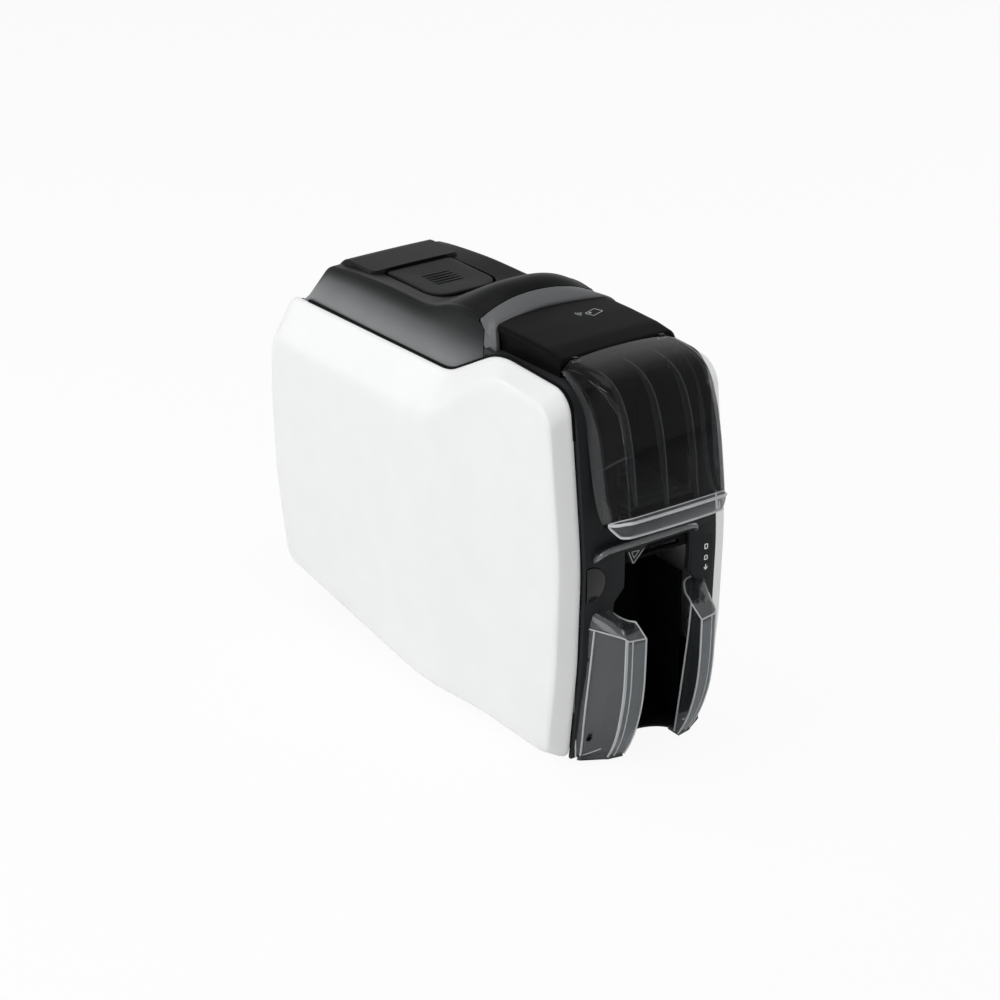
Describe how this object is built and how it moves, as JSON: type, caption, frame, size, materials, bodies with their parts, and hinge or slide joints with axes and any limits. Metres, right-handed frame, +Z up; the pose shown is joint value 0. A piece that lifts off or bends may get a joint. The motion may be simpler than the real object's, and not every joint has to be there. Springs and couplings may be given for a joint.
{
  "type": "id card printer",
  "caption": "Desktop card printer with hinged top lid, smoked hopper door, clear output wings, white side panels, geared card path and ribbon unit.",
  "frame": {"origin": "middle of the overall width and depth, on the surface that the feet stand on", "axes": "+X to the right seen from the front, +Y from the front to the rear, +Z up"},
  "size_m": [0.158, 0.3979, 0.306],
  "materials": {
    "white_shell": "satin",
    "dark_shell": "satin",
    "black_shell": "satin",
    "grey_trim": "satin",
    "smoked_clear": "clear, smoked",
    "clear_wing": "clear",
    "light_window": "translucent",
    "rubber": "matte",
    "sheet_steel": "zinc plated",
    "steel": "bright",
    "gear_plastic": "satin",
    "heat_sink": "satin",
    "head_ceramic": "glazed",
    "film": "glossy",
    "circuit_board": "satin"
  },
  "bodies": {
    "base": {"base_tray": "dark_shell", "feet": "rubber", "chassis_left": "sheet_steel", "chassis_right": "sheet_steel", "cross_bars": "steel", "chassis_screws": "steel", "lid_seat_frame": "dark_shell", "rear_panel": "dark_shell", "left_side_panel": "white_shell", "right_side_panel": "white_shell", "front_fascia": "dark_shell", "head_cover": "black_shell", "lid_hinge_pins": "steel", "door_hinge_pins": "steel", "input_bin": "black_shell", "feed_visor": "grey_trim", "feed_slot_plate": "grey_trim", "status_lights": "light_window", "output_bin": "black_shell", "left_wing": "clear_wing", "right_wing": "clear_wing", "idler_axles": "steel", "main_motor": "grey_trim", "ribbon_motors": "grey_trim", "ribbon_film": "film", "card_rails": "black_shell", "main_board": "circuit_board", "board_ports": "sheet_steel", "power_inlet": "black_shell", "fan_bracket": "sheet_steel", "fan_frame": "black_shell"},
    "lid": {"top_lid": "dark_shell", "lid_arch": "grey_trim", "latch_spring": "steel", "latch_pivot": "grey_trim", "print_head": "head_ceramic", "head_carrier": "grey_trim", "head_heat_sink": "heat_sink"},
    "latch_plate": {"latch_button": "dark_shell"},
    "latch_arm": {"latch_lever": "grey_trim"},
    "door": {"hopper_door": "smoked_clear"},
    "weight": {"card_weight": "grey_trim"},
    "power_key": {"power_button": "dark_shell"},
    "fan": {"fan_rotor": "grey_trim"},
    "supply": {"supply_spool": "grey_trim"},
    "takeup": {"takeup_spool": "grey_trim"},
    "pinion": {"motor_pinion": "gear_plastic"},
    "kick_shaft": {"kick_roller": "rubber"},
    "feed_shaft": {"feed_roller": "rubber"},
    "transport_shaft": {"transport_roller": "rubber"},
    "platen_shaft": {"platen_roller": "rubber"},
    "exit_shaft": {"exit_roller": "rubber"},
    "kick_idler_gear": {"kick_idler": "gear_plastic"},
    "feed_idler_gear": {"feed_idler": "gear_plastic"},
    "transport_idler_gear": {"transport_idler": "gear_plastic"},
    "exit_idler_gear": {"exit_idler": "gear_plastic"},
    "motor_idler_gear": {"motor_idler": "gear_plastic"},
    "cleaning_axle": {"cleaning_roller": "grey_trim"},
    "front_pinch_axle": {"front_pinch_roller": "rubber"},
    "rear_pinch_axle": {"rear_pinch_roller": "rubber"}
  },
  "joints": [
    {"name": "lid_hinge", "type": "hinge", "parent": "base", "child": "lid", "pos_m": [0, 0.175, 0.243], "axis": [-1, 0, 0], "range_deg": [0, 65]},
    {"name": "latch_press", "type": "slide", "parent": "lid", "child": "latch_plate", "axis": [0, 0, -1], "range_m": [0, 0.003], "stiffness_N_per_m": 400, "springref_m": -0.002, "deforming": ["latch_spring"]},
    {"name": "latch_lever_turn", "type": "hinge", "parent": "lid", "child": "latch_arm", "pos_m": [0, 0.07, 0.252], "axis": [-1, 0, 0], "range_deg": [0, 15]},
    {"name": "door_hinge", "type": "hinge", "parent": "base", "child": "door", "pos_m": [0, -0.1285, 0.286], "axis": [-1, 0, 0], "range_deg": [0, 70]},
    {"name": "card_weight_slide", "type": "slide", "parent": "base", "child": "weight", "axis": [0, 0, 1], "range_m": [0, 0.072]},
    {"name": "power_press", "type": "slide", "parent": "base", "child": "power_key", "axis": [0, 1, 0], "range_m": [0, 0.0015], "stiffness_N_per_m": 500, "springref_m": -0.001},
    {"name": "fan_spin", "type": "hinge", "parent": "base", "child": "fan", "pos_m": [0.005, 0.18, 0.15], "axis": [0, 1, 0], "continuous": true},
    {"name": "supply_spin", "type": "hinge", "parent": "base", "child": "supply", "pos_m": [0.005, 0.06, 0.212], "axis": [1, 0, 0], "continuous": true},
    {"name": "takeup_spin", "type": "hinge", "parent": "base", "child": "takeup", "pos_m": [0.005, -0.018, 0.212], "axis": [1, 0, 0], "continuous": true},
    {"name": "kick_spin", "type": "hinge", "parent": "base", "child": "kick_shaft", "pos_m": [0.005, -0.15, 0.18], "axis": [1, 0, 0], "continuous": true},
    {"name": "feed_spin", "type": "hinge", "parent": "base", "child": "feed_shaft", "pos_m": [0.005, -0.09, 0.18], "axis": [1, 0, 0], "continuous": true},
    {"name": "transport_spin", "type": "hinge", "parent": "base", "child": "transport_shaft", "pos_m": [0.005, -0.04, 0.18], "axis": [1, 0, 0], "continuous": true},
    {"name": "platen_spin", "type": "hinge", "parent": "base", "child": "platen_shaft", "pos_m": [0.005, 0.02, 0.18], "axis": [1, 0, 0], "continuous": true},
    {"name": "exit_spin", "type": "hinge", "parent": "base", "child": "exit_shaft", "pos_m": [0.005, 0.08, 0.18], "axis": [1, 0, 0], "continuous": true},
    {"name": "kick_idler_spin", "type": "hinge", "parent": "base", "child": "kick_idler_gear", "pos_m": [-0.0305, -0.12, 0.18], "axis": [1, 0, 0], "continuous": true},
    {"name": "feed_idler_spin", "type": "hinge", "parent": "base", "child": "feed_idler_gear", "pos_m": [-0.0305, -0.065, 0.18], "axis": [1, 0, 0], "continuous": true},
    {"name": "transport_idler_spin", "type": "hinge", "parent": "base", "child": "transport_idler_gear", "pos_m": [-0.0305, -0.01, 0.18], "axis": [1, 0, 0], "continuous": true},
    {"name": "exit_idler_spin", "type": "hinge", "parent": "base", "child": "exit_idler_gear", "pos_m": [-0.0305, 0.05, 0.18], "axis": [1, 0, 0], "continuous": true},
    {"name": "motor_idler_spin", "type": "hinge", "parent": "base", "child": "motor_idler_gear", "pos_m": [-0.0305, 0.02, 0.15], "axis": [1, 0, 0], "continuous": true},
    {"name": "pinion_spin", "type": "hinge", "parent": "base", "child": "pinion", "pos_m": [-0.0305, 0.02, 0.124], "axis": [1, 0, 0], "continuous": true},
    {"name": "cleaning_spin", "type": "hinge", "parent": "base", "child": "cleaning_axle", "pos_m": [0.005, -0.09, 0.1969], "axis": [1, 0, 0], "continuous": true},
    {"name": "front_pinch_spin", "type": "hinge", "parent": "base", "child": "front_pinch_axle", "pos_m": [0.005, -0.04, 0.1949], "axis": [1, 0, 0], "continuous": true},
    {"name": "rear_pinch_spin", "type": "hinge", "parent": "base", "child": "rear_pinch_axle", "pos_m": [0.005, 0.08, 0.1949], "axis": [1, 0, 0], "continuous": true}
  ],
  "couplings": [
    {"joint": "latch_lever_turn", "follows": "latch_press", "rad_per_m": 85.5},
    {"joint": "kick_spin", "follows": "platen_spin", "ratio": 1},
    {"joint": "feed_spin", "follows": "platen_spin", "ratio": 1},
    {"joint": "transport_spin", "follows": "platen_spin", "ratio": 1},
    {"joint": "exit_spin", "follows": "platen_spin", "ratio": 1},
    {"joint": "kick_idler_spin", "follows": "platen_spin", "ratio": -0.5},
    {"joint": "feed_idler_spin", "follows": "platen_spin", "ratio": -0.66667},
    {"joint": "transport_idler_spin", "follows": "platen_spin", "ratio": -0.5},
    {"joint": "exit_idler_spin", "follows": "platen_spin", "ratio": -0.5},
    {"joint": "motor_idler_spin", "follows": "platen_spin", "ratio": -0.5},
    {"joint": "pinion_spin", "follows": "platen_spin", "ratio": 1.6667}
  ]
}
